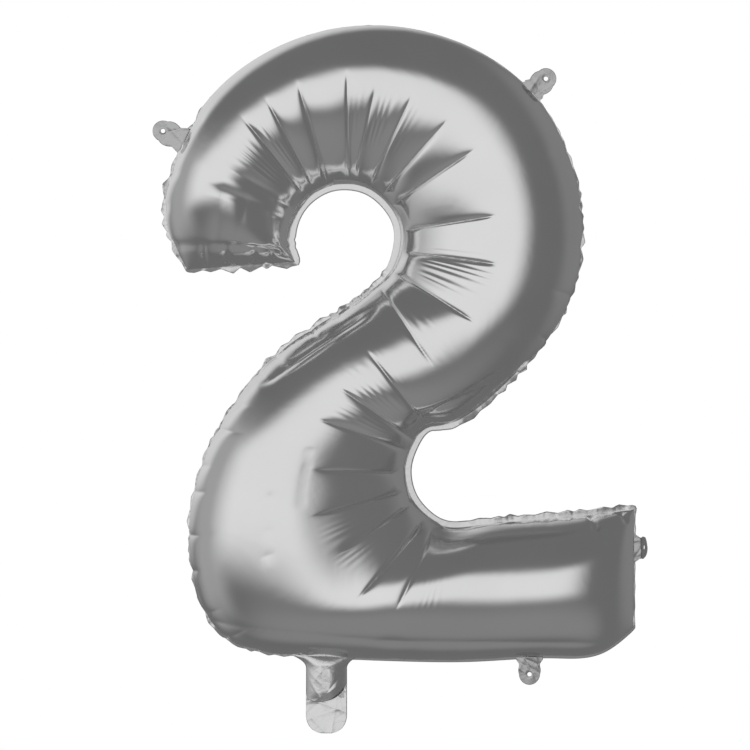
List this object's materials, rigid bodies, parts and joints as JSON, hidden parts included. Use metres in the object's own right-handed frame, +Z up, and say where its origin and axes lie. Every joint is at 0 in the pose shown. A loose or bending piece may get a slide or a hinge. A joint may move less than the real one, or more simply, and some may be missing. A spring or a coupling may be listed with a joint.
{
  "type": "foil number balloon",
  "caption": "Inflated silver foil balloon in the shape of the numeral two, with a welded rim, punched hanging tabs and a flat filling neck with a self-sealing film valve.",
  "frame": {"origin": "centre of the hanging hole in the top right tab, in the seam plane", "axes": "+Z up, the numeral reads from the front, which faces -Y; +X to the reader's right; +Y along the hanging hole"},
  "size_m": [0.6667, 0.1826, 0.9558],
  "materials": {
    "silver_foil": "bright mirror-like metallised film",
    "welded_rim": "satin metallised film, two layers welded",
    "neck_foil": "crinkled satin metallised film",
    "valve_film": "clear polyethylene film"
  },
  "bodies": {
    "envelope": {"front_panel": "silver_foil", "back_panel": "silver_foil", "perimeter_seam": "welded_rim", "valve_front_film": "valve_film", "valve_back_film": "valve_film", "valve_side_welds": "valve_film"},
    "filling_neck": {"neck_front_foil": "neck_foil", "neck_back_foil": "neck_foil", "neck_side_welds": "neck_foil", "valve_mouth_front_film": "valve_film", "valve_mouth_back_film": "valve_film"},
    "top_right_tab": {"hanging_tab_top_right": "welded_rim"},
    "top_left_tab": {"hanging_tab_top_left": "welded_rim"},
    "bottom_tab": {"hanging_tab_bottom": "welded_rim"},
    "right_end_tab": {"hanging_tab_right_end": "welded_rim"}
  },
  "joints": [
    {"name": "neck_bend", "type": "hinge", "parent": "envelope", "child": "filling_neck", "pos_m": [-0.294, 0, -0.7861], "axis": [1, 0, 0], "range_deg": [-90, 90]},
    {"name": "top_right_tab_bend", "type": "hinge", "parent": "envelope", "child": "top_right_tab", "pos_m": [-0.01263, 0, -0.01138], "axis": [-0.6691, 0, 0.7431], "range_deg": [-90, 90]},
    {"name": "top_left_tab_bend", "type": "hinge", "parent": "envelope", "child": "top_left_tab", "pos_m": [-0.49495, 0, -0.07861], "axis": [-0.4305, 0, -0.9026], "range_deg": [-90, 90]},
    {"name": "bottom_tab_bend", "type": "hinge", "parent": "envelope", "child": "bottom_tab", "pos_m": [-0.022, 0, -0.786], "axis": [1, 0, 0], "range_deg": [-90, 90]},
    {"name": "right_end_tab_bend", "type": "hinge", "parent": "envelope", "child": "right_end_tab", "pos_m": [0.1283, 0, -0.629], "axis": [0, 0, 1], "range_deg": [-155, 25]}
  ]
}
